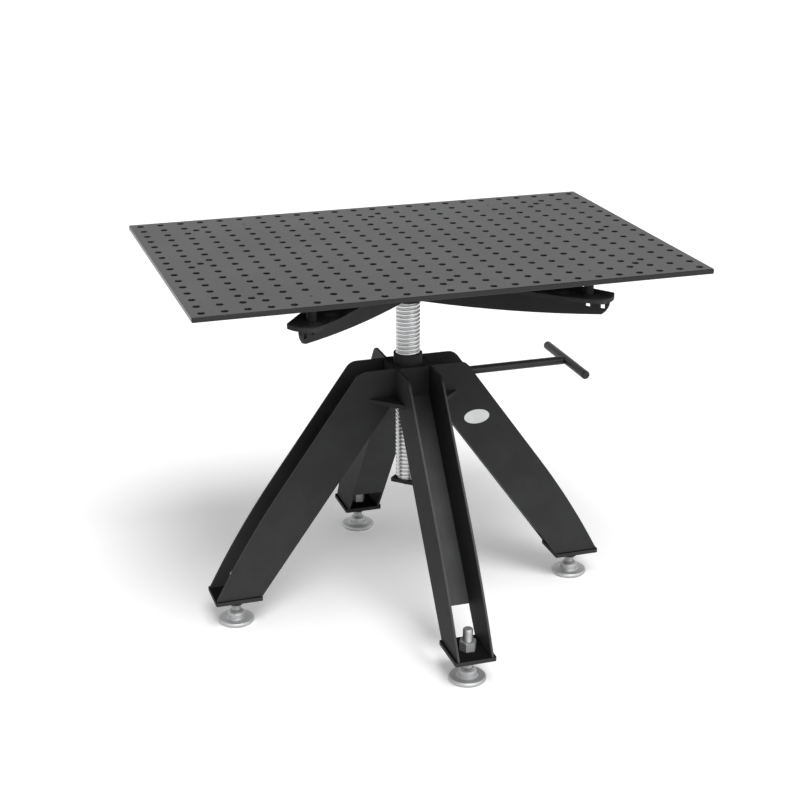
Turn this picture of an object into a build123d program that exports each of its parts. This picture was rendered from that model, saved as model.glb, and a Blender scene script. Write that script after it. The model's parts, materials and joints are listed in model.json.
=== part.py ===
from build123d import *
import os
from math import cos, radians, sin, sqrt, tan

# Height adjustable rotating table, in millimetres.
# The origin is on the floor under the spindle's axis, X runs along the table's long side, Z is up.
os.makedirs("parts", exist_ok=True)

# Levelling feet
foot_reach = 448.0  # from the spindle's axis to each foot
disc_diameter = 90.0
disc_bottom_diameter = 80.0
disc_rim_low = 6.0
disc_rim_high = 8.0
disc_top = 12.0
disc_bevel = 3.0
hub_base_diameter = 52.0  # flares out to the disc
hub_waist_diameter = 44.0
hub_waist_height = 15.0
hub_shoulder_diameter = 43.0
hub_shoulder_height = 24.0
hub_top_diameter = 39.0
hub_top_height = 28.0
ring_thickness = 5.0
ring_bevel = 6.0
stem_diameter = 24.0
stem_top_height = 133.0
stem_chamfer = 2.0
ball_diameter = 28.0
ball_height = 18.0
ball_clearance = 0.2
ring_clearance = 0.4

# Foot plates, their threaded bosses and the lock nuts
foot_plate_underside = 70.0
foot_plate_length = 117.0
foot_plate_width = 100.0
foot_plate_thickness = 10.0
foot_plate_chamfer = 3.0
boss_diameter = 36.0
boss_length = 21.0
thread_clearance = 0.1
nut_across_flats = 36.0
nut_height = 22.0
nut_chamfer = 2.0

# Frame: two pairs of laser-cut sheets that cross under the spindle
frame_sheet = 5.0
frame_span = 88.0  # over the outer faces of a pair
frame_height = 555.5  # from the foot plates to the top edge
hub_depth = 80.5
shoulder_reach = 134.5
shoulder_radius = 32.0
leg_angle = 54.4  # outer edge, down from level
knee_reach = 340.0
toe_setback = 2.5
hub_corner_reach = 47.7
lap_clearance = 0.05

# Bent webs that close the legs
web_sheet = 5.0
web_end_setback = 102.0  # from each foot
web_bend_radius = 5.0

# Hub plates, gussets and the threaded sleeve that carries the spindle
hub_plate_thickness = 10.0
gusset_leg = 69.0
sleeve_diameter = 70.5
sleeve_rise = 25.0
sleeve_rim_radius = 1.5

# Spindle and its end stop
spindle_diameter = 60.0
spindle_length = 456.0
spindle_clearance = 0.1
lowering_travel = 129.8  # from the sleeve's top to the flange, as the table stands here
stop_plate_side = 62.0
stop_plate_thickness = 10.0
stop_plate_play = 0.3
stop_screw_diameter = 16.0
stop_screw_grip = 30.0
stop_screw_head_diameter = 26.0
stop_screw_head_height = 9.0
stop_screw_socket = 10.0
stop_screw_socket_depth = 5.0
screw_hole_clearance = 0.2

# Clamp with its T handle
rod_diameter = 21.0
rod_hole_clearance = 0.2
handle_reach = 419.0
cross_bar_length = 248.0
cross_bar_diameter = 21.5
cross_bar_end_radius = 4.0
clamp_boss_diameter = 36.0
clamp_boss_length = 30.0
pad_diameter = 13.0
pad_length = 16.0
pad_stub_diameter = 6.0
pad_stub_length = 8.0
pad_play = 0.2

# Spider that carries the table top
flange_diameter = 62.0
flange_thickness = 4.0
rib_thickness = 8.0
rib_depth = 66.2  # at the spindle
rib_arc_radius = 3750.0
rib_end_setback = 17.5  # from the rib's upper end to its lower one
rib_end_inset = 6.0  # of the rib's upper end, under the arm's end
window_width = 12.0
window_height = 12.0
window_spacing = 35.5
window_end_margin = 16.2
window_top_margin = 8.8
arm_width = 96.0
arm_end_width = 70.0
arm_thickness = 10.0
arm_end_bulge = 9.0
arm_taper = 78.0  # length over which the arm narrows
arm_end_margin = 57.4
arm_end_radius = 10.0
arm_side_radius = 150.0
arm_corner_radius = 45.0
post_diameter = 22.0
post_height = 42.5
arm_hole_diameter = 8.5
arm_hole_circle = 58.0

# Table top with its grid of holes
top_length = 1200.0
top_width = 800.0
top_thickness = 12.0
top_edge_chamfer = 1.5
top_corner_radius = 3.0
hole_diameter = 16.0
hole_chamfer = 1.0
hole_pitch = 50.0
hole_edge_margin = 25.0
post_column = 6  # the grid hole, counted from the middle, that a screw takes
side_hole_row = 6
side_hole_column = 9
end_hole_column = 10
table_screw_diameter = 10.0
table_screw_head = 20.0
table_screw_length = 32.0
table_screw_socket = 6.0
table_screw_socket_depth = 3.5

# Plain oval badge on the right leg
badge_length = 66.0
badge_width = 37.0
badge_thickness = 1.5
badge_reach = 164.6
badge_drop = 146.5

# Heights that follow from the sizes above
frame_bottom = foot_plate_underside + foot_plate_thickness
frame_top = frame_bottom + frame_height
hub_bottom = frame_top - hub_depth
hub_middle = (frame_top + hub_bottom) / 2
sleeve_top = frame_top + sleeve_rise
flange_bottom = sleeve_top + lowering_travel
rib_bottom = flange_bottom + flange_thickness
arm_bottom = rib_bottom + rib_depth
arm_top = arm_bottom + arm_thickness
post_top = arm_top + post_height
table_surface = post_top + top_thickness
spindle_bottom = flange_bottom - spindle_length
stop_plate_top = spindle_bottom - stop_plate_play
stop_plate_bottom = stop_plate_top - stop_plate_thickness
stop_screw_seat = stop_plate_bottom - stop_plate_play

# Distances from the spindle's axis that follow from the sizes above
frame_outer = frame_span / 2
frame_inner = frame_outer - frame_sheet
toe_outer = foot_reach + foot_plate_length / 2 - toe_setback
toe_inner = foot_reach - foot_plate_length / 2
web_end_reach = foot_reach - web_end_setback
post_offset = (post_column + 0.5) * hole_pitch
arm_reach = post_offset * sqrt(2) + arm_end_margin
rib_reach = arm_reach - rib_end_inset
pad_tip = spindle_diameter / 2 + spindle_clearance
rod_start = pad_tip + pad_length + pad_play
rod_hole_diameter = rod_diameter + 2 * rod_hole_clearance
sleeve_bore = spindle_diameter + 2 * spindle_clearance

# The four legs by name, each with its direction about the spindle's axis
leg_angles = {"right": 0, "back": 90, "left": 180, "front": 270}
# The sheet beside a pair of legs faces its own way: the front sheet joins the left and right feet
sheet_angles = {"front": 0, "right": 90, "back": 180, "left": 270}


def upright_plane(angle, x=0.0, y=0.0):
    """A plane that stands on the floor, with its x along the given direction and its y up."""
    along = (cos(radians(angle)), sin(radians(angle)), 0)
    normal = (sin(radians(angle)), -cos(radians(angle)), 0)
    return Plane(origin=(x, y, 0), x_dir=along, z_dir=normal)


def foot_centre(angle):
    """Where a foot stands, as x and y."""
    return foot_reach * cos(radians(angle)), foot_reach * sin(radians(angle))


def rib_edge_height(reach):
    """Height of a rib's arched lower edge at a distance from the spindle's axis."""
    return rib_bottom + rib_arc_radius - sqrt(rib_arc_radius**2 - reach**2)


def inner_edge_height(reach):
    """Height of a leg's inner edge at a distance from the spindle's axis."""
    slope = (hub_bottom - frame_bottom) / (toe_inner - hub_corner_reach)
    return hub_bottom - slope * (reach - hub_corner_reach)


# Frame sheets, each with two legs, half-lapped where they cross
knee_height = frame_top - (knee_reach - shoulder_reach) * tan(radians(leg_angle))
for side, angle in sheet_angles.items():
    with BuildPart() as frame_plate:
        with BuildSketch(upright_plane(angle).offset(frame_inner)) as sheet_face:
            with BuildLine():
                Line((0, hub_bottom), (0, frame_top))
                Line((0, frame_top), (shoulder_reach, frame_top))
                outer_edge = Line((shoulder_reach, frame_top), (knee_reach, knee_height))
                TangentArc((knee_reach, knee_height), (toe_outer, frame_bottom), tangent=outer_edge % 1)
                Line((toe_outer, frame_bottom), (toe_inner, frame_bottom))
                Line((toe_inner, frame_bottom), (hub_corner_reach, hub_bottom))
                Line((hub_corner_reach, hub_bottom), (0, hub_bottom))
            make_face()
            shoulder = sheet_face.vertices().sort_by_distance((shoulder_reach, frame_top))[0]
            fillet(shoulder, shoulder_radius)
            mirror(about=Plane.YZ)
            lap_middle = (frame_inner + frame_outer) / 2
            lap_width = frame_sheet + 2 * lap_clearance
            if side in ("front", "back"):
                lap_centre_height = hub_middle + hub_depth / 2
            else:
                lap_centre_height = hub_middle - hub_depth / 2
            with Locations((lap_middle, lap_centre_height), (-lap_middle, lap_centre_height)):
                Rectangle(lap_width, hub_depth, mode=Mode.SUBTRACT)
            if side == "right":
                with Locations((0, hub_middle)):
                    Circle(rod_hole_diameter / 2, mode=Mode.SUBTRACT)
        extrude(amount=frame_sheet)
    frame_plate.part.label = f"frame_plate_{side}"
    export_step(frame_plate.part, f"parts/frame_plate_{side}.step")

# Leg webs: a flange on the hub's side sheet, then a strip along the leg's inner edge
inner_slope = inner_edge_height(0) - inner_edge_height(1)
web_rise = web_sheet * sqrt(1 + inner_slope**2)
end_normal_x = web_sheet * inner_slope / sqrt(1 + inner_slope**2)
end_normal_z = web_sheet / sqrt(1 + inner_slope**2)
web_flange_outer = frame_outer + web_sheet
inner_bend = (frame_outer, inner_edge_height(frame_outer))
outer_bend = (web_flange_outer, inner_edge_height(web_flange_outer) + web_rise)
web_end_low = (web_end_reach, inner_edge_height(web_end_reach))
web_end_high = (web_end_reach + end_normal_x, inner_edge_height(web_end_reach) + end_normal_z)
for side, angle in leg_angles.items():
    with BuildPart() as leg_web:
        with BuildSketch(upright_plane(angle)) as web_section:
            with BuildLine():
                Polyline(
                    (frame_outer, frame_top),
                    inner_bend,
                    web_end_low,
                    web_end_high,
                    outer_bend,
                    (web_flange_outer, frame_top),
                    close=True,
                )
            make_face()
            fillet(web_section.vertices().sort_by_distance(inner_bend)[0], web_bend_radius + web_sheet)
            fillet(web_section.vertices().sort_by_distance(outer_bend)[0], web_bend_radius)
        extrude(amount=frame_inner, both=True)
        if side == "right":
            with BuildSketch(Plane.YZ.offset(frame_outer)):
                with Locations((0, hub_middle)):
                    Circle(rod_hole_diameter / 2)
            extrude(amount=web_sheet, mode=Mode.SUBTRACT)
    leg_web.part.label = f"leg_web_{side}"
    export_step(leg_web.part, f"parts/leg_web_{side}.step")

# Hub plates between the four sheets, one flush with the top edge and one with the bottom
hub_plate_levels = {"top": frame_top - hub_plate_thickness, "bottom": hub_bottom}
for level, height in hub_plate_levels.items():
    with BuildPart() as hub_plate:
        with BuildSketch(Plane.XY.offset(height)):
            Rectangle(2 * frame_inner, 2 * frame_inner)
            Circle(sleeve_diameter / 2, mode=Mode.SUBTRACT)
        extrude(amount=hub_plate_thickness)
    hub_plate.part.label = f"hub_plate_{level}"
    export_step(hub_plate.part, f"parts/hub_plate_{level}.step")

# Triangular gussets in the four outer corners of the hub
with BuildPart() as hub_gussets:
    with BuildSketch(Plane.XY.offset(hub_bottom)):
        gusset_end = frame_outer + gusset_leg
        with BuildLine():
            Polyline(
                (frame_outer, frame_outer),
                (gusset_end, frame_outer),
                (frame_outer, gusset_end),
                close=True,
            )
        make_face()
        mirror(about=Plane.YZ)
        mirror(about=Plane.XZ)
    extrude(amount=hub_plate_thickness)
hub_gussets.part.label = "hub_gussets"
export_step(hub_gussets.part, "parts/hub_gussets.step")

# Threaded sleeve that the spindle turns in, with the hole for the clamp's pad
with BuildPart() as spindle_sleeve:
    with BuildSketch(Plane.XY.offset(hub_bottom)):
        Circle(sleeve_diameter / 2)
        Circle(sleeve_bore / 2, mode=Mode.SUBTRACT)
    extrude(amount=sleeve_top - hub_bottom)
    sleeve_rims = spindle_sleeve.edges().filter_by(GeomType.CIRCLE).group_by(Axis.Z)[-1]
    fillet(sleeve_rims.sort_by(SortBy.RADIUS)[-1], sleeve_rim_radius)
    with BuildSketch(Plane.YZ):
        with Locations((0, hub_middle)):
            Circle(pad_diameter / 2 + pad_play)
    extrude(amount=sleeve_diameter, mode=Mode.SUBTRACT)
spindle_sleeve.part.label = "spindle_sleeve"
export_step(spindle_sleeve.part, "parts/spindle_sleeve.step")

# Foot plates under the ends of the legs
for side, angle in leg_angles.items():
    foot_x, foot_y = foot_centre(angle)
    with BuildPart() as foot_plate:
        with BuildSketch(Plane(origin=(foot_x, foot_y, foot_plate_underside))):
            outline = Rectangle(foot_plate_length, foot_plate_width, rotation=angle)
            chamfer(outline.vertices(), foot_plate_chamfer)
            Circle(stem_diameter / 2 + thread_clearance, mode=Mode.SUBTRACT)
        extrude(amount=foot_plate_thickness)
    foot_plate.part.label = f"foot_plate_{side}"
    export_step(foot_plate.part, f"parts/foot_plate_{side}.step")

# Threaded bosses under the foot plates
with BuildPart() as foot_bosses:
    with BuildSketch(Plane.XY.offset(foot_plate_underside)):
        with PolarLocations(foot_reach, len(leg_angles)):
            Circle(boss_diameter / 2)
            Circle(stem_diameter / 2 + thread_clearance, mode=Mode.SUBTRACT)
    extrude(amount=-boss_length)
foot_bosses.part.label = "foot_bosses"
export_step(foot_bosses.part, "parts/foot_bosses.step")

# Hexagon lock nuts on top of the foot plates
nut_corner_radius = nut_across_flats / sqrt(3)
with BuildPart() as lock_nut:
    with BuildSketch(Plane.XY.offset(frame_bottom)):
        RegularPolygon(nut_corner_radius, 6)
    extrude(amount=nut_height)
    with BuildSketch(Plane.XY.offset(frame_bottom)):
        Circle(nut_corner_radius)
    extrude(amount=nut_height, mode=Mode.INTERSECT)
    with BuildSketch(Plane.XZ):
        with BuildLine():
            Polyline(
                (nut_corner_radius - nut_chamfer, frame_bottom + nut_height),
                (nut_corner_radius + nut_chamfer, frame_bottom + nut_height),
                (nut_corner_radius + nut_chamfer, frame_bottom + nut_height - 2 * nut_chamfer * tan(radians(30))),
                close=True,
            )
        make_face()
    revolve(axis=Axis.Z, mode=Mode.SUBTRACT)
    with BuildSketch(Plane.XY.offset(frame_bottom)):
        Circle(stem_diameter / 2 + thread_clearance)
    extrude(amount=nut_height, mode=Mode.SUBTRACT)
with BuildPart() as foot_lock_nuts:
    with PolarLocations(foot_reach, len(leg_angles), rotate=False):
        add(lock_nut.part)
foot_lock_nuts.part.label = "foot_lock_nuts"
export_step(foot_lock_nuts.part, "parts/foot_lock_nuts.step")

# Feet: a disc with a ball socket, the ring that keeps the ball in, and the threaded stem
ring_top_height = hub_top_height + ring_thickness
neck_bore = stem_diameter / 2 + ring_clearance
for side, angle in leg_angles.items():
    foot_x, foot_y = foot_centre(angle)
    foot_plane = upright_plane(0, foot_x, foot_y)
    foot_axis = Axis((foot_x, foot_y, 0), (0, 0, 1))
    with BuildPart() as foot_disc:
        with BuildSketch(foot_plane):
            with BuildLine():
                Polyline(
                    (0, 0),
                    (disc_bottom_diameter / 2, 0),
                    (disc_diameter / 2, disc_rim_low),
                    (disc_diameter / 2, disc_rim_high),
                    (disc_diameter / 2 - disc_bevel, disc_top),
                    (hub_base_diameter / 2, disc_top),
                    (hub_waist_diameter / 2, hub_waist_height),
                    (hub_shoulder_diameter / 2, hub_shoulder_height),
                    (hub_top_diameter / 2, hub_top_height),
                    (0, hub_top_height),
                    close=True,
                )
            make_face()
        revolve(axis=foot_axis)
        with BuildSketch(Plane(origin=(foot_x, foot_y, ball_height))):
            Circle(neck_bore)
        extrude(amount=hub_top_height, mode=Mode.SUBTRACT)
        with BuildSketch(foot_plane):
            with BuildLine():
                socket_radius = ball_diameter / 2 + ball_clearance
                CenterArc((0, ball_height), socket_radius, -90, 180)
                Line((0, ball_height + socket_radius), (0, ball_height - socket_radius))
            make_face()
        revolve(axis=foot_axis, mode=Mode.SUBTRACT)
    foot_disc.part.label = f"foot_disc_{side}"
    export_step(foot_disc.part, f"parts/foot_disc_{side}.step")

    with BuildPart() as foot_ring:
        with BuildSketch(foot_plane):
            with BuildLine():
                Polyline(
                    (neck_bore, hub_top_height),
                    (hub_top_diameter / 2, hub_top_height),
                    (hub_top_diameter / 2 - ring_bevel, ring_top_height),
                    (neck_bore, ring_top_height),
                    close=True,
                )
            make_face()
        revolve(axis=foot_axis)
    foot_ring.part.label = f"foot_ring_{side}"
    export_step(foot_ring.part, f"parts/foot_ring_{side}.step")

    with BuildPart() as foot_stem:
        with BuildSketch(Plane(origin=(foot_x, foot_y, ball_height))):
            Circle(stem_diameter / 2)
        extrude(amount=stem_top_height - ball_height)
        stem_end = foot_stem.edges().filter_by(GeomType.CIRCLE).sort_by(Axis.Z)[-1]
        chamfer(stem_end, stem_chamfer)
        with BuildSketch(foot_plane):
            with BuildLine():
                CenterArc((0, ball_height), ball_diameter / 2, -90, 180)
                Line((0, ball_height + ball_diameter / 2), (0, ball_height - ball_diameter / 2))
            make_face()
        revolve(axis=foot_axis)
    foot_stem.part.label = f"foot_stem_{side}"
    export_step(foot_stem.part, f"parts/foot_stem_{side}.step")

# Spindle, with the blind hole for the stop's screw in its lower end
with BuildPart() as spindle:
    with BuildSketch(Plane.XY.offset(spindle_bottom)):
        Circle(spindle_diameter / 2)
    extrude(amount=spindle_length)
    with BuildSketch(Plane.XY.offset(spindle_bottom)):
        Circle(stop_screw_diameter / 2)
    extrude(amount=stop_screw_grip, mode=Mode.SUBTRACT)
spindle.part.label = "spindle"
export_step(spindle.part, "parts/spindle.step")

# Square stop plate that the screw holds loosely under the spindle
with BuildPart() as stop_plate:
    with BuildSketch(Plane.XY.offset(stop_plate_bottom)):
        Rectangle(stop_plate_side, stop_plate_side, rotation=45)
        Circle(stop_screw_diameter / 2 + screw_hole_clearance, mode=Mode.SUBTRACT)
    extrude(amount=stop_plate_thickness)
stop_plate.part.label = "stop_plate"
export_step(stop_plate.part, "parts/stop_plate.step")

with BuildPart() as stop_screw:
    with BuildSketch(Plane.XY.offset(stop_screw_seat)):
        Circle(stop_screw_diameter / 2)
    extrude(amount=spindle_bottom + stop_screw_grip - stop_screw_seat)
    with BuildSketch(Plane.XY.offset(stop_screw_seat)):
        Circle(stop_screw_head_diameter / 2)
    extrude(amount=-stop_screw_head_height)
    with BuildSketch(Plane.XY.offset(stop_screw_seat - stop_screw_head_height)):
        RegularPolygon(stop_screw_socket / sqrt(3), 6)
    extrude(amount=stop_screw_socket_depth, mode=Mode.SUBTRACT)
stop_screw.part.label = "stop_screw"
export_step(stop_screw.part, "parts/stop_screw.step")

# Clamp: a threaded boss on the right web, the pad on the spindle, the rod and its cross bar
with BuildPart() as clamp_boss:
    with BuildSketch(Plane.YZ.offset(web_flange_outer)):
        with Locations((0, hub_middle)):
            Circle(clamp_boss_diameter / 2)
            Circle(rod_diameter / 2 + thread_clearance, mode=Mode.SUBTRACT)
    extrude(amount=clamp_boss_length)
clamp_boss.part.label = "clamp_boss"
export_step(clamp_boss.part, "parts/clamp_boss.step")

with BuildPart() as clamp_pad:
    with BuildSketch(Plane.YZ.offset(pad_tip)):
        with Locations((0, hub_middle)):
            Circle(pad_diameter / 2)
    extrude(amount=pad_length)
    with BuildSketch(Plane.YZ.offset(pad_tip + pad_length)):
        with Locations((0, hub_middle)):
            Circle(pad_stub_diameter / 2)
    extrude(amount=pad_stub_length)
clamp_pad.part.label = "clamp_pad"
export_step(clamp_pad.part, "parts/clamp_pad.step")

with BuildPart() as clamp_rod:
    with BuildSketch(Plane.YZ.offset(rod_start)):
        with Locations((0, hub_middle)):
            Circle(rod_diameter / 2)
    extrude(amount=handle_reach - rod_start)
    with BuildSketch(Plane.YZ.offset(rod_start)):
        with Locations((0, hub_middle)):
            Circle(pad_stub_diameter / 2 + pad_play)
    extrude(amount=pad_stub_length + pad_play, mode=Mode.SUBTRACT)
    with BuildSketch(Plane.XZ):
        with Locations((handle_reach, hub_middle)):
            Circle(cross_bar_diameter / 2)
    extrude(amount=rod_diameter, both=True, mode=Mode.SUBTRACT)
clamp_rod.part.label = "clamp_rod"
export_step(clamp_rod.part, "parts/clamp_rod.step")

with BuildPart() as clamp_cross_bar:
    with BuildSketch(Plane.XZ):
        with Locations((handle_reach, hub_middle)):
            Circle(cross_bar_diameter / 2)
    extrude(amount=cross_bar_length / 2, both=True)
    fillet(clamp_cross_bar.edges().filter_by(GeomType.CIRCLE), cross_bar_end_radius)
clamp_cross_bar.part.label = "clamp_cross_bar"
export_step(clamp_cross_bar.part, "parts/clamp_cross_bar.step")

# Flange welded to the spindle's upper end, under the ribs
with BuildPart() as spindle_flange:
    with BuildSketch(Plane.XY.offset(flange_bottom)):
        Circle(flange_diameter / 2)
    extrude(amount=flange_thickness)
spindle_flange.part.label = "spindle_flange"
export_step(spindle_flange.part, "parts/spindle_flange.step")

# Two ribs that cross under the arms, half-lapped at the spindle, with two windows at each end
rib_low_end = (rib_reach - rib_end_setback, rib_edge_height(rib_reach - rib_end_setback))
rib_half_way = (rib_low_end[0] / 2, rib_edge_height(rib_low_end[0] / 2))
window_middle = arm_bottom - window_top_margin - window_height / 2
outer_window = rib_reach - window_end_margin
rib_laps = {"a": (45, rib_bottom), "b": (135, arm_bottom)}
for letter, (angle, lap_centre_height) in rib_laps.items():
    with BuildPart() as spider_rib:
        with BuildSketch(upright_plane(angle).offset(-rib_thickness / 2)):
            with BuildLine():
                ThreePointArc((0, rib_bottom), rib_half_way, rib_low_end)
                TangentArc((rib_reach, arm_bottom), rib_low_end, tangent=(0, -1))
                Polyline((rib_reach, arm_bottom), (0, arm_bottom), (0, rib_bottom))
            make_face()
            mirror(about=Plane.YZ)
            for window_reach in (outer_window, outer_window - window_spacing):
                with Locations((window_reach, window_middle), (-window_reach, window_middle)):
                    Rectangle(window_width, window_height, mode=Mode.SUBTRACT)
            with Locations((0, lap_centre_height)):
                Rectangle(rib_thickness + 2 * lap_clearance, rib_depth, mode=Mode.SUBTRACT)
        extrude(amount=rib_thickness)
    spider_rib.part.label = f"spider_rib_{letter}"
    export_step(spider_rib.part, f"parts/spider_rib_{letter}.step")

# One arm of the spider, along X: it narrows to a blunt end with rounded corners
arm_half = arm_width / 2
arm_end_half = arm_end_width / 2
arm_corner_reach = arm_reach - arm_end_bulge
taper_start = arm_corner_reach - arm_taper
with BuildSketch() as arm_blank:
    with BuildLine():
        Polyline(
            (arm_corner_reach, arm_end_half),
            (taper_start, arm_half),
            (0, arm_half),
            (0, -arm_half),
            (taper_start, -arm_half),
            (arm_corner_reach, -arm_end_half),
        )
        ThreePointArc(
            (arm_corner_reach, arm_end_half),
            (arm_reach, 0),
            (arm_corner_reach, -arm_end_half),
        )
    make_face()
    fillet(arm_blank.vertices().group_by(Axis.X)[-1], arm_end_radius)
    for taper_corner in ((taper_start, arm_half), (taper_start, -arm_half)):
        fillet(arm_blank.vertices().sort_by_distance(taper_corner)[0], arm_side_radius)

# Arm plate: a cross of four such arms along the table's diagonals
with BuildPart() as spider_arms:
    with BuildSketch(Plane.XY.offset(arm_bottom)) as arm_outline:
        with PolarLocations(0, 4, start_angle=45):
            add(arm_blank.sketch)
        fillet(arm_outline.vertices().sort_by_distance((0, 0))[:4], arm_corner_radius)
        for front_or_back in (-1, 1):
            for left_or_right in (-1, 1):
                with Locations((left_or_right * post_offset, front_or_back * post_offset)):
                    with PolarLocations(arm_hole_circle / 2, 3, start_angle=-90 * front_or_back):
                        Circle(arm_hole_diameter / 2, mode=Mode.SUBTRACT)
    extrude(amount=arm_thickness)
spider_arms.part.label = "spider_arms"
export_step(spider_arms.part, "parts/spider_arms.step")

# Posts between the arms and the table top, tapped for the screws
with BuildPart() as table_posts:
    with BuildSketch(Plane.XY.offset(arm_top)):
        with GridLocations(2 * post_offset, 2 * post_offset, 2, 2):
            Circle(post_diameter / 2)
    extrude(amount=post_height)
    with BuildSketch(Plane.XY.offset(post_top)):
        with GridLocations(2 * post_offset, 2 * post_offset, 2, 2):
            Circle(table_screw_diameter / 2)
    extrude(amount=-(table_screw_length - top_thickness), mode=Mode.SUBTRACT)
table_posts.part.label = "table_posts"
export_step(table_posts.part, "parts/table_posts.step")

# Table top: holes on a square grid, a few more between them, and a countersink over each post
half_columns = int((top_length / 2 - hole_edge_margin) / hole_pitch + 0.5)
half_rows = int((top_width / 2 - hole_edge_margin) / hole_pitch + 0.5)
hole_places = []
for column in range(-half_columns, half_columns):
    for row in range(-half_rows, half_rows):
        hole_x = (column + 0.5) * hole_pitch
        hole_y = (row + 0.5) * hole_pitch
        if abs(hole_x) != post_offset or abs(hole_y) != post_offset:
            hole_places.append((hole_x, hole_y))
for side_x in (-side_hole_column, 0, side_hole_column):
    for side_y in (-side_hole_row, side_hole_row):
        hole_places.append((side_x * hole_pitch, side_y * hole_pitch))
hole_places.append((end_hole_column * hole_pitch, 0))
hole_places.append((-end_hole_column * hole_pitch, 0))
with BuildPart() as table_top:
    with BuildSketch(Plane.XY.offset(post_top)):
        RectangleRounded(top_length, top_width, top_corner_radius)
    extrude(amount=top_thickness)
    for face in (table_top.faces().sort_by(Axis.Z)[-1], table_top.faces().sort_by(Axis.Z)[0]):
        chamfer(face.outer_wire().edges(), top_edge_chamfer)
    with Locations(Plane.XY.offset(table_surface)):
        with GridLocations(2 * post_offset, 2 * post_offset, 2, 2):
            CounterSinkHole(table_screw_diameter / 2, table_screw_head / 2, counter_sink_angle=90)
        with Locations(hole_places):
            CounterSinkHole(hole_diameter / 2, hole_diameter / 2 + hole_chamfer, counter_sink_angle=90)
table_top.part.label = "table_top"
export_step(table_top.part, "parts/table_top.step")

# Countersunk screws, flush with the table's surface
with BuildPart() as table_screw:
    with BuildSketch(Plane.XZ):
        head_depth = (table_screw_head - table_screw_diameter) / 2
        with BuildLine():
            Polyline(
                (0, table_surface - table_screw_length),
                (table_screw_diameter / 2, table_surface - table_screw_length),
                (table_screw_diameter / 2, table_surface - head_depth),
                (table_screw_head / 2, table_surface),
                (0, table_surface),
                close=True,
            )
        make_face()
    revolve(axis=Axis.Z)
    with BuildSketch(Plane.XY.offset(table_surface)):
        RegularPolygon(table_screw_socket / sqrt(3), 6)
    extrude(amount=-table_screw_socket_depth, mode=Mode.SUBTRACT)
with BuildPart() as table_screws:
    with GridLocations(2 * post_offset, 2 * post_offset, 2, 2):
        add(table_screw.part)
table_screws.part.label = "table_screws"
export_step(table_screws.part, "parts/table_screws.step")

# Badge on the outer face of the front sheet
with BuildPart() as badge_plate:
    with BuildSketch(Plane.XZ.offset(frame_outer)):
        with Locations((badge_reach, frame_top - badge_drop)):
            Ellipse(badge_length / 2, badge_width / 2)
    extrude(amount=badge_thickness)
badge_plate.part.label = "badge_plate"
export_step(badge_plate.part, "parts/badge_plate.step")
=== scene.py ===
import json
from math import cos, pi, radians, sin

import bmesh
import bpy
from mathutils import Matrix, Vector


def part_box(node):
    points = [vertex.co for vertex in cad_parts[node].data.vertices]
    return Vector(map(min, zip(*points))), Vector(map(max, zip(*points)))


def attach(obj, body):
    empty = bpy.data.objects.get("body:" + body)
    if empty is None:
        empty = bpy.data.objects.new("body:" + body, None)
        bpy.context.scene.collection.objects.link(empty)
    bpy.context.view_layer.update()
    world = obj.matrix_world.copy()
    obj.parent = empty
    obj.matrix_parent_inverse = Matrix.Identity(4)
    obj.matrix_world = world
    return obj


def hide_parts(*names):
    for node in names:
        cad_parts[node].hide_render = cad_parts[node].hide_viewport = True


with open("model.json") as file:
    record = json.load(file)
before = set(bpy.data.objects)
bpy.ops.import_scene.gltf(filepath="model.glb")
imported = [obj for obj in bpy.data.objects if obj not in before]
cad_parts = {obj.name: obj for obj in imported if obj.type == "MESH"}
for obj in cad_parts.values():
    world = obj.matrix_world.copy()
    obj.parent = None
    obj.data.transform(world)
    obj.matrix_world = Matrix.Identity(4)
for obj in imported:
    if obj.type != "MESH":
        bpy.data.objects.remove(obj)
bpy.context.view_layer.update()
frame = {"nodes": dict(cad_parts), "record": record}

MM = 0.001
SIDES = ("front", "back", "left", "right")
COOL = 0.01  # blue tint of the lighter patches of a material

# Places of the colour sockets of a Mix node
MIX_FIRST, MIX_SECOND, MIX_RESULT = 6, 7, 2


# Small helpers for shader nodes
def new_material(name):
    """An empty node material with its output, returned with its node tree and a Principled shader."""
    material = bpy.data.materials.new(name)
    material.use_nodes = True
    tree = material.node_tree
    tree.nodes.clear()
    output = tree.nodes.new("ShaderNodeOutputMaterial")
    shader = tree.nodes.new("ShaderNodeBsdfPrincipled")
    tree.links.new(shader.outputs["BSDF"], output.inputs["Surface"])
    return material, tree, shader


def coordinates(tree, stretch=(1, 1, 1)):
    """Object coordinates, which are metres in the row's frame, stretched along an axis."""
    source = tree.nodes.new("ShaderNodeTexCoord")
    mapping = tree.nodes.new("ShaderNodeMapping")
    mapping.inputs["Scale"].default_value = stretch
    tree.links.new(source.outputs["Object"], mapping.inputs["Vector"])
    return mapping.outputs["Vector"]


def noise(tree, vector, scale, detail=3.0, roughness=0.5):
    """A noise texture's value, with its grains counted per metre."""
    node = tree.nodes.new("ShaderNodeTexNoise")
    node.inputs["Scale"].default_value = scale
    node.inputs["Detail"].default_value = detail
    node.inputs["Roughness"].default_value = roughness
    tree.links.new(vector, node.inputs["Vector"])
    return node.outputs["Fac"]


def ramp(tree, value, low, high, low_at=0.35, high_at=0.65):
    """A colour that goes from low to high as the value grows."""
    node = tree.nodes.new("ShaderNodeValToRGB")
    node.color_ramp.elements[0].position = low_at
    node.color_ramp.elements[0].color = (*low, 1)
    node.color_ramp.elements[1].position = high_at
    node.color_ramp.elements[1].color = (*high, 1)
    tree.links.new(value, node.inputs["Fac"])
    return node.outputs["Color"]


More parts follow.
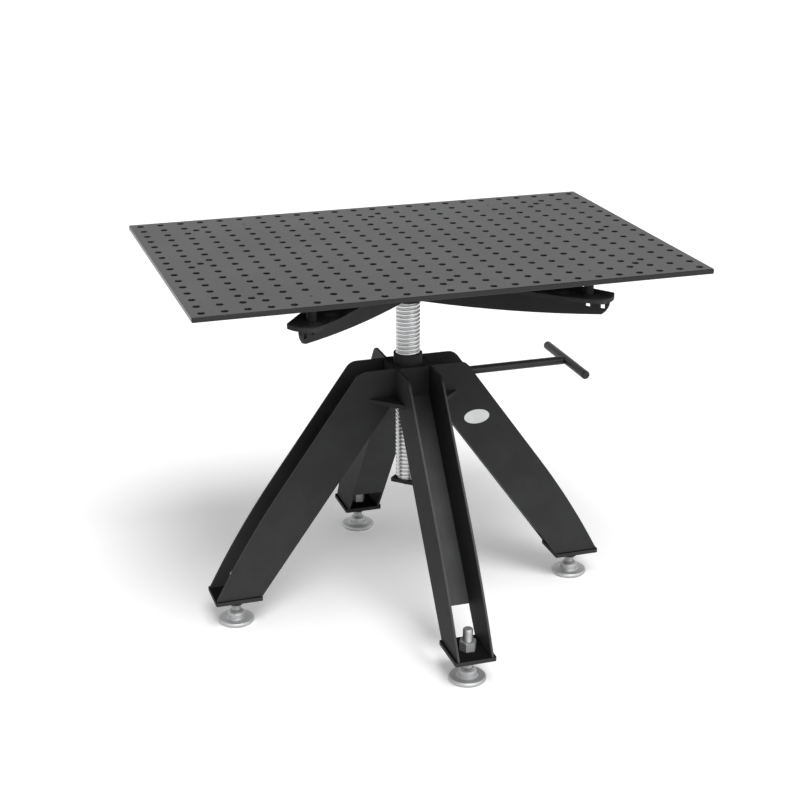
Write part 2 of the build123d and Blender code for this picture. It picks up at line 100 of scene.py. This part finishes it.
def spread(tree, value, low, high):
    """The value from 0 to 1 mapped to low to high."""
    node = tree.nodes.new("ShaderNodeMapRange")
    node.inputs["To Min"].default_value = low
    node.inputs["To Max"].default_value = high
    tree.links.new(value, node.inputs["Value"])
    return node.outputs["Result"]


EDGE_SAMPLES = 6


def relief(tree, shader, height, strength, distance, edge_radius):
    """Surface relief from a height value, over edges that are slightly rounded."""
    edge = tree.nodes.new("ShaderNodeBevel")
    edge.samples = EDGE_SAMPLES
    edge.inputs["Radius"].default_value = edge_radius
    node = tree.nodes.new("ShaderNodeBump")
    node.inputs["Strength"].default_value = strength
    node.inputs["Distance"].default_value = distance
    tree.links.new(height, node.inputs["Height"])
    tree.links.new(edge.outputs["Normal"], node.inputs["Normal"])
    tree.links.new(node.outputs["Normal"], shader.inputs["Normal"])


def upward(tree):
    """1 where a surface faces straight up or down, 0 where it is upright."""
    geometry = tree.nodes.new("ShaderNodeNewGeometry")
    split = tree.nodes.new("ShaderNodeSeparateXYZ")
    size = tree.nodes.new("ShaderNodeMath")
    size.operation = "ABSOLUTE"
    tree.links.new(geometry.outputs["True Normal"], split.inputs["Vector"])
    tree.links.new(split.outputs["Z"], size.inputs[0])
    return size.outputs["Value"]


def blend(tree, share, first, second):
    """A colour between two others, by a share from 0 to 1."""
    node = tree.nodes.new("ShaderNodeMix")
    node.data_type = "RGBA"
    tree.links.new(share, node.inputs["Factor"])
    tree.links.new(first, node.inputs[MIX_FIRST])
    tree.links.new(second, node.inputs[MIX_SECOND])
    return node.outputs[MIX_RESULT]


def product(tree, first, second):
    """Two colours multiplied."""
    node = tree.nodes.new("ShaderNodeMix")
    node.data_type = "RGBA"
    node.blend_type = "MULTIPLY"
    node.inputs["Factor"].default_value = 1.0
    tree.links.new(first, node.inputs[MIX_FIRST])
    tree.links.new(second, node.inputs[MIX_SECOND])
    return node.outputs[MIX_RESULT]


def grey(level, tint=0.0):
    """A neutral colour, a little blue where tint is above zero."""
    return (level * (1 - tint), level, level * (1 + tint))


def steps(tree, value, stops):
    """A value that follows (place, level) stops, with the places in rising order."""
    node = tree.nodes.new("ShaderNodeValToRGB")
    elements = node.color_ramp.elements
    while len(elements) < len(stops):
        elements.new(0.5)
    for element, (place, level) in zip(elements, stops):
        element.position = place
        element.color = (*grey(level), 1)
    tree.links.new(value, node.inputs["Fac"])
    return node.outputs["Color"]


def height_share(tree, low_at, high_at, low, high):
    """A value that goes from low to high between two heights above the floor."""
    split = tree.nodes.new("ShaderNodeSeparateXYZ")
    tree.links.new(coordinates(tree), split.inputs["Vector"])
    node = tree.nodes.new("ShaderNodeMapRange")
    node.inputs["From Min"].default_value = low_at
    node.inputs["From Max"].default_value = high_at
    node.inputs["To Min"].default_value = low
    node.inputs["To Max"].default_value = high
    tree.links.new(split.outputs["Z"], node.inputs["Value"])
    return node.outputs["Result"]


# A slope is 0 on an upright face and 1 on a level one
# Shares of a coat's level by slope, a painted highlight: upright faces, then sloping edges painted lighter
COAT_PAINTED_SLOPE_LIGHT = ((0.0, 0.62), (0.3, 0.62), (0.5, 1.0), (0.64, 1.0))
# Slopes between which a face starts to count as level, for the painted shade of the coat's colour and for
# its gloss
COAT_LEVEL_FROM, COAT_LEVEL_TO = 0.66, 0.85
COAT_GLOSS_FROM, COAT_GLOSS_TO = 0.64, 0.8
# Heights in metres between which the painted shade on level faces eases, its share going from low to high
COAT_SHADE_LOW_AT, COAT_SHADE_HIGH_AT = 0.15, 0.45
# Grains per metre of the coat's patches and of its texture
COAT_PATCHES, COAT_GRAIN = 14.0, 1500.0


def powder_coat(name, level, roughness, gloss, level_gloss, low_share_under_shade, high_share_under_shade):
    """Black powder coat, uneven in colour and gloss, with a painted highlight on sloping edges and painted
    shade on level faces.

    The two shares are how much of the level is left on level faces under the painted shade, near the floor
    and higher up.
    """
    material, tree, shader = new_material(name)
    place = coordinates(tree)
    patches = noise(tree, place, COAT_PATCHES)
    grain = noise(tree, place, COAT_GRAIN, detail=2.0)
    colour = ramp(tree, patches, grey(level * 0.92), grey(level * 1.08, COOL))
    slope = upward(tree)
    # painted highlight: sloping faces and edges keep the full level, upright faces only part of it
    upright_with_painted_light = product(tree, steps(tree, slope, COAT_PAINTED_SLOPE_LIGHT), colour)
    # painted shade on level faces, darkest near the floor
    height = height_share(tree, COAT_SHADE_LOW_AT, COAT_SHADE_HIGH_AT, low_share_under_shade, high_share_under_shade)
    level_with_painted_shade = product(tree, height, colour)
    is_level = steps(tree, slope, ((COAT_LEVEL_FROM, 0.0), (COAT_LEVEL_TO, 1.0)))
    tree.links.new(blend(tree, is_level, upright_with_painted_light, level_with_painted_shade), shader.inputs["Base Color"])
    tree.links.new(spread(tree, patches, roughness - 0.04, roughness + 0.06), shader.inputs["Roughness"])
    shine = ramp(tree, slope, grey(gloss), grey(level_gloss), COAT_GLOSS_FROM, COAT_GLOSS_TO)
    tree.links.new(shine, shader.inputs["Specular IOR Level"])
    relief(tree, shader, grain, strength=0.2, distance=0.2 * MM, edge_radius=0.6 * MM)
    return material


# Plates are dull on their faces and glossier on cut edges and on the bevels of holes
EDGE_ROUGHNESS = 0.28
BEVEL_ROUGHNESS = 0.14
EDGE_GLOSS = 0.36
FACE_GLOSS = 0.2
LINES_SHARE = 0.35  # of grinding lines in the faces' unevenness, and clouds the rest
# Slopes at which an edge ends and a bevel starts, and a bevel ends and a face starts
EDGE_END, BEVEL_START, BEVEL_END, FACE_START = 0.4, 0.6, 0.8, 0.95


def plate_steel(name, level, side_shade_level, roughness):
    """Ground and darkened steel with faint grinding lines, soft clouds and fine specks, and painted shade
    on hole walls, bevels and cut edges.
    """
    material, tree, shader = new_material(name)
    place = coordinates(tree)
    lines = noise(tree, coordinates(tree, stretch=(3, 260, 3)), scale=5.0, detail=4.0)
    clouds = noise(tree, place, scale=5.0, detail=5.0)
    specks = noise(tree, place, scale=900.0, detail=2.0)
    mix = tree.nodes.new("ShaderNodeMath")
    mix.operation = "ADD"
    tree.links.new(spread(tree, lines, 0.0, LINES_SHARE), mix.inputs[0])
    tree.links.new(spread(tree, clouds, 0.0, 1 - LINES_SHARE), mix.inputs[1])
    face = ramp(tree, mix.outputs["Value"], grey(level * 0.92), grey(level * 1.08, COOL))
    # painted shade: hole walls, bevels and cut edges get a much darker colour than the faces
    side = ramp(tree, mix.outputs["Value"], grey(side_shade_level * 0.9), grey(side_shade_level * 1.1, COOL))
    flat = upward(tree)
    level_share = ramp(tree, flat, grey(0.0), grey(1.0), BEVEL_END, FACE_START)
    tree.links.new(blend(tree, level_share, side, face), shader.inputs["Base Color"])
    stops = (
        (EDGE_END, EDGE_ROUGHNESS),
        (BEVEL_START, BEVEL_ROUGHNESS),
        (BEVEL_END, BEVEL_ROUGHNESS),
        (FACE_START, roughness),
    )
    tree.links.new(steps(tree, flat, stops), shader.inputs["Roughness"])
    gloss = ramp(tree, flat, grey(EDGE_GLOSS), grey(FACE_GLOSS), EDGE_END, BEVEL_START)
    tree.links.new(gloss, shader.inputs["Specular IOR Level"])
    relief(tree, shader, specks, strength=0.2, distance=0.1 * MM, edge_radius=0.5 * MM)
    return material


def turned_steel(name, level, roughness, stretch=(1, 1, 40)):
    """Bare or zinc-plated turned steel with fine tool marks round the axis."""
    material, tree, shader = new_material(name)
    marks = noise(tree, coordinates(tree, stretch), scale=60.0, detail=4.0)
    clouds = noise(tree, coordinates(tree), scale=25.0)
    colour = ramp(tree, clouds, grey(level * 0.9), grey(level * 1.06, COOL))
    tree.links.new(colour, shader.inputs["Base Color"])
    tree.links.new(spread(tree, marks, roughness - 0.06, roughness + 0.08), shader.inputs["Roughness"])
    shader.inputs["Metallic"].default_value = 1.0
    relief(tree, shader, marks, strength=0.12, distance=0.1 * MM, edge_radius=0.4 * MM)
    return material


# Materials, by the slots of the record
MATERIALS = {
    "frame_black": powder_coat(
        "frame_black",
        level=0.082,
        roughness=0.55,
        gloss=0.06,
        level_gloss=0.0,
        # painted shade on level faces: 0.12 of the level near the floor, 0.62 higher up
        low_share_under_shade=0.12,
        high_share_under_shade=0.62,
    ),
    "handle_black": powder_coat(
        "handle_black",
        level=0.042,
        roughness=0.4,
        gloss=0.34,
        level_gloss=0.3,
        low_share_under_shade=1.0,
        high_share_under_shade=1.0,
    ),
    "table_steel": plate_steel("table_steel", level=0.09, side_shade_level=0.015, roughness=0.6),
    "bright_steel": turned_steel("bright_steel", level=0.64, roughness=0.30),
    "foot_zinc": turned_steel("foot_zinc", level=0.48, roughness=0.6),
    "screw_black": plate_steel("screw_black", level=0.05, side_shade_level=0.02, roughness=0.45),
    "badge_metal": turned_steel("badge_metal", level=0.55, roughness=0.38, stretch=(30, 1, 1)),
}


# Every CAD node takes the material of its slot in the record
SLOT_OF = {part["node"]: part["material_slot"] for part in frame["record"]["subparts"]}
for node_name, cad_object in frame["nodes"].items():
    cad_object.data.materials.clear()
    cad_object.data.materials.append(MATERIALS[SLOT_OF[node_name]])


# Meshes that stand for plain cylinders in the solids
def finish_piece(name, shape, body, slot_name, node):
    """Makes an object of a finished shape, which rides on a body and stands for a CAD node."""
    mesh = bpy.data.meshes.new(name)
    shape.to_mesh(mesh)
    shape.free()
    piece = bpy.data.objects.new(name, mesh)
    bpy.context.scene.collection.objects.link(piece)
    mesh.materials.append(MATERIALS[slot_name])
    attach(piece, body)
    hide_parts(node)


WELD = 0.001 * MM  # points closer than this are one
CAP_SLOPE = 0.99  # faces more level than this are the flat ends


def cap(shape, z):
    """Closes the open loop at a height with one face."""
    rim = [edge for edge in shape.edges if edge.is_boundary]
    loop = [edge for edge in rim if all(abs(v.co.z - z) < WELD for v in edge.verts)]
    bmesh.ops.contextual_create(shape, geom=loop)


def thread_shape(centre, z_low, z_high, outer, inner, pitch, profile, columns, bevel=0.0):
    """A right-hand screw thread about a vertical axis, cut square at both ends, with a bevel at its top.

    profile lists (share of the pitch, share of the depth) for one turn, and its rows climb with the angle.
    """
    shape = bmesh.new()
    first = int(z_low / pitch) - 2
    last = int(z_high / pitch) + 2
    rows = [(turn + share, depth) for turn in range(first, last) for share, depth in profile]
    grid = []
    for share, depth in rows:
        ring = []
        for column in range(columns + 1):
            angle = 2 * pi * column / columns
            z = pitch * (share + column / columns)
            radius = min(inner + (outer - inner) * depth, outer - max(0.0, z - z_high + bevel))
            x = centre[0] + radius * cos(angle)
            y = centre[1] + radius * sin(angle)
            ring.append(shape.verts.new((x, y, z)))
        grid.append(ring)
    for lower, upper in zip(grid, grid[1:]):
        for column in range(columns):
            shape.faces.new((lower[column], lower[column + 1], upper[column + 1], upper[column]))
    bmesh.ops.remove_doubles(shape, verts=shape.verts, dist=WELD)
    for z, normal in ((z_low, (0, 0, -1)), (z_high, (0, 0, 1))):
        everything = shape.verts[:] + shape.edges[:] + shape.faces[:]
        bmesh.ops.bisect_plane(
            shape, geom=everything, plane_co=(0, 0, z), plane_no=normal, clear_outer=True
        )
        cap(shape, z)
    bmesh.ops.recalc_face_normals(shape, faces=shape.faces)
    for face in shape.faces:
        face.smooth = abs(face.normal.z) < CAP_SLOPE
    return shape


def node_centre(node):
    """Middle of a node's box, as x, y and z."""
    low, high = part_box(node)
    return [(a + b) / 2 for a, b in zip(low, high)]


# Spindle with its rounded thread
SPINDLE_PITCH = 10 * MM
SPINDLE_DEPTH = 3.6 * MM
SPINDLE_COLUMNS = 96
SPINDLE_FLANK = [(0.06, 0.06), (0.12, 0.35), (0.19, 0.72), (0.27, 0.92), (0.38, 0.99)]
SPINDLE_OTHER_FLANK = [(1 - share, depth) for share, depth in reversed(SPINDLE_FLANK)]
SPINDLE_PROFILE = [(0.0, 0.0), *SPINDLE_FLANK, (0.5, 1.0), *SPINDLE_OTHER_FLANK]
spindle_low, spindle_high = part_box("spindle")
spindle_radius = (spindle_high[0] - spindle_low[0]) / 2
spindle_shape = thread_shape(
    node_centre("spindle")[:2],
    spindle_low[2],
    spindle_high[2],
    spindle_radius,
    spindle_radius - SPINDLE_DEPTH,
    SPINDLE_PITCH,
    SPINDLE_PROFILE,
    SPINDLE_COLUMNS,
)
finish_piece("spindle_thread", spindle_shape, "table", "bright_steel", "spindle")


# Threaded stems of the feet, each with its ball
STEM_PITCH = 3 * MM
STEM_DEPTH = 1.8 * MM
STEM_PROFILE = [(0.0, 0.0), (0.2, 0.08), (0.44, 1.0), (0.56, 1.0), (0.8, 0.08)]
STEM_RADIUS = 12 * MM
STEM_BEVEL = 2 * MM
STEM_COLUMNS = 36
BALL_COLUMNS = 32
BALL_ROWS = 16
for side in SIDES:
    stem_low, stem_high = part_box(f"foot_stem_{side}")
    ball_radius = (stem_high[0] - stem_low[0]) / 2
    stem_x, stem_y = node_centre(f"foot_stem_{side}")[:2]
    ball_z = stem_low[2] + ball_radius
    stem_shape = thread_shape(
        (stem_x, stem_y),
        ball_z,
        stem_high[2],
        STEM_RADIUS,
        STEM_RADIUS - STEM_DEPTH,
        STEM_PITCH,
        STEM_PROFILE,
        STEM_COLUMNS,
        STEM_BEVEL,
    )
    ball_place = Matrix.Translation((stem_x, stem_y, ball_z))
    bmesh.ops.create_uvsphere(
        stem_shape,
        u_segments=BALL_COLUMNS,
        v_segments=BALL_ROWS,
        radius=ball_radius,
        matrix=ball_place,
    )
    finish_piece(f"stem_thread_{side}", stem_shape, f"stem_{side}", "foot_zinc", f"foot_stem_{side}")


# Camera, at the photograph's place
CAMERA_PLACE = Vector((-1.1956, -3.6480, 1.9627))
CAMERA_PITCH = 20.403  # degrees below level
CAMERA_YAW = 17.8603  # degrees clockwise from +Y
CAMERA_LENS = 75  # millimetres
CAMERA_SENSOR = 36  # millimetres wide
camera_data = bpy.data.cameras.new("camera")
camera_data.lens = CAMERA_LENS
camera_data.sensor_width = CAMERA_SENSOR
camera = bpy.data.objects.new("camera", camera_data)
camera.location = CAMERA_PLACE
camera.rotation_euler = (radians(90 - CAMERA_PITCH), 0, radians(-CAMERA_YAW))
bpy.context.scene.collection.objects.link(camera)
bpy.context.scene.camera = camera


# Floor, world and lamps
def seen_rays(tree):
    """1 for rays from the camera, in reflections and through clear pieces, 0 for light on the object."""
    path = tree.nodes.new("ShaderNodeLightPath")
    total = path.outputs["Is Camera Ray"]
    for kind in ("Is Glossy Ray", "Is Transmission Ray"):
        node = tree.nodes.new("ShaderNodeMath")
        node.operation = "MAXIMUM"
        tree.links.new(total, node.inputs[0])
        tree.links.new(path.outputs[kind], node.inputs[1])
        total = node.outputs["Value"]
    return total


FLOOR_REACH = 30.0
FLOOR_GLOW = 0.22  # of the seen floor, so that it comes out white
SKY_LOW, SKY_HIGH = 0.08, 0.45  # light of the sky level with the floor and overhead


def stage_floor():
    """A wide floor with the object's shadow, white where it is seen and grey where it throws light back."""
    mesh = bpy.data.meshes.new("floor")
    corners = [(-1, -1), (1, -1), (1, 1), (-1, 1)]
    mesh.from_pydata([(x * FLOOR_REACH, y * FLOOR_REACH, 0) for x, y in corners], [], [(0, 1, 2, 3)])
    floor = bpy.data.objects.new("floor", mesh)
    bpy.context.scene.collection.objects.link(floor)
    material, tree, shader = new_material("floor_white")
    clouds = noise(tree, coordinates(tree), scale=3.0)
    seen_colour = ramp(tree, clouds, grey(0.96), grey(0.97))
    bounce_colour = ramp(tree, clouds, grey(0.6), grey(0.61))
    seen = seen_rays(tree)
    tree.links.new(blend(tree, seen, bounce_colour, seen_colour), shader.inputs["Base Color"])
    shader.inputs["Roughness"].default_value = 0.9
    shader.inputs["Specular IOR Level"].default_value = 0.0
    shader.inputs["Emission Color"].default_value = (1, 1, 1, 1)
    glow = spread(tree, seen, 0.0, FLOOR_GLOW)
    tree.links.new(glow, shader.inputs["Emission Strength"])
    mesh.materials.append(material)


def soft_world():
    """Light from a white sky, stronger overhead, and plain white where it is seen."""
    world = bpy.data.worlds.new("surroundings")
    bpy.context.scene.world = world
    world.use_nodes = True
    tree = world.node_tree
    tree.nodes.clear()
    output = tree.nodes.new("ShaderNodeOutputWorld")
    direction = tree.nodes.new("ShaderNodeTexCoord")
    split = tree.nodes.new("ShaderNodeSeparateXYZ")
    tree.links.new(direction.outputs["Generated"], split.inputs["Vector"])
    light = tree.nodes.new("ShaderNodeBackground")
    light.inputs["Color"].default_value = (1, 1, 1, 1)
    tree.links.new(spread(tree, split.outputs["Z"], SKY_LOW, SKY_HIGH), light.inputs["Strength"])
    seen = tree.nodes.new("ShaderNodeBackground")
    seen.inputs["Color"].default_value = (1, 1, 1, 1)
    seen.inputs["Strength"].default_value = 1.0
    mix = tree.nodes.new("ShaderNodeMixShader")
    tree.links.new(seen_rays(tree), mix.inputs["Fac"])
    tree.links.new(light.outputs["Background"], mix.inputs[1])
    tree.links.new(seen.outputs["Background"], mix.inputs[2])
    tree.links.new(mix.outputs["Shader"], output.inputs["Surface"])


def wide_sun(name, source, angle, strength):
    """Even light from one side of the sky. A wider angle, in degrees, gives softer shadows."""
    data = bpy.data.lights.new(name, "SUN")
    data.angle = radians(angle)
    data.energy = strength
    lamp = bpy.data.objects.new(name, data)
    lamp.rotation_euler = (-Vector(source)).to_track_quat("-Z", "Y").to_euler()
    bpy.context.scene.collection.objects.link(lamp)


stage_floor()
soft_world()
wide_sun("key_light", source=(0.0, -0.5, 0.86), angle=28, strength=2.1)
wide_sun("fill_light", source=(0.4, -0.8, 0.35), angle=50, strength=0.75)
bpy.context.scene.view_settings.view_transform = "Standard"
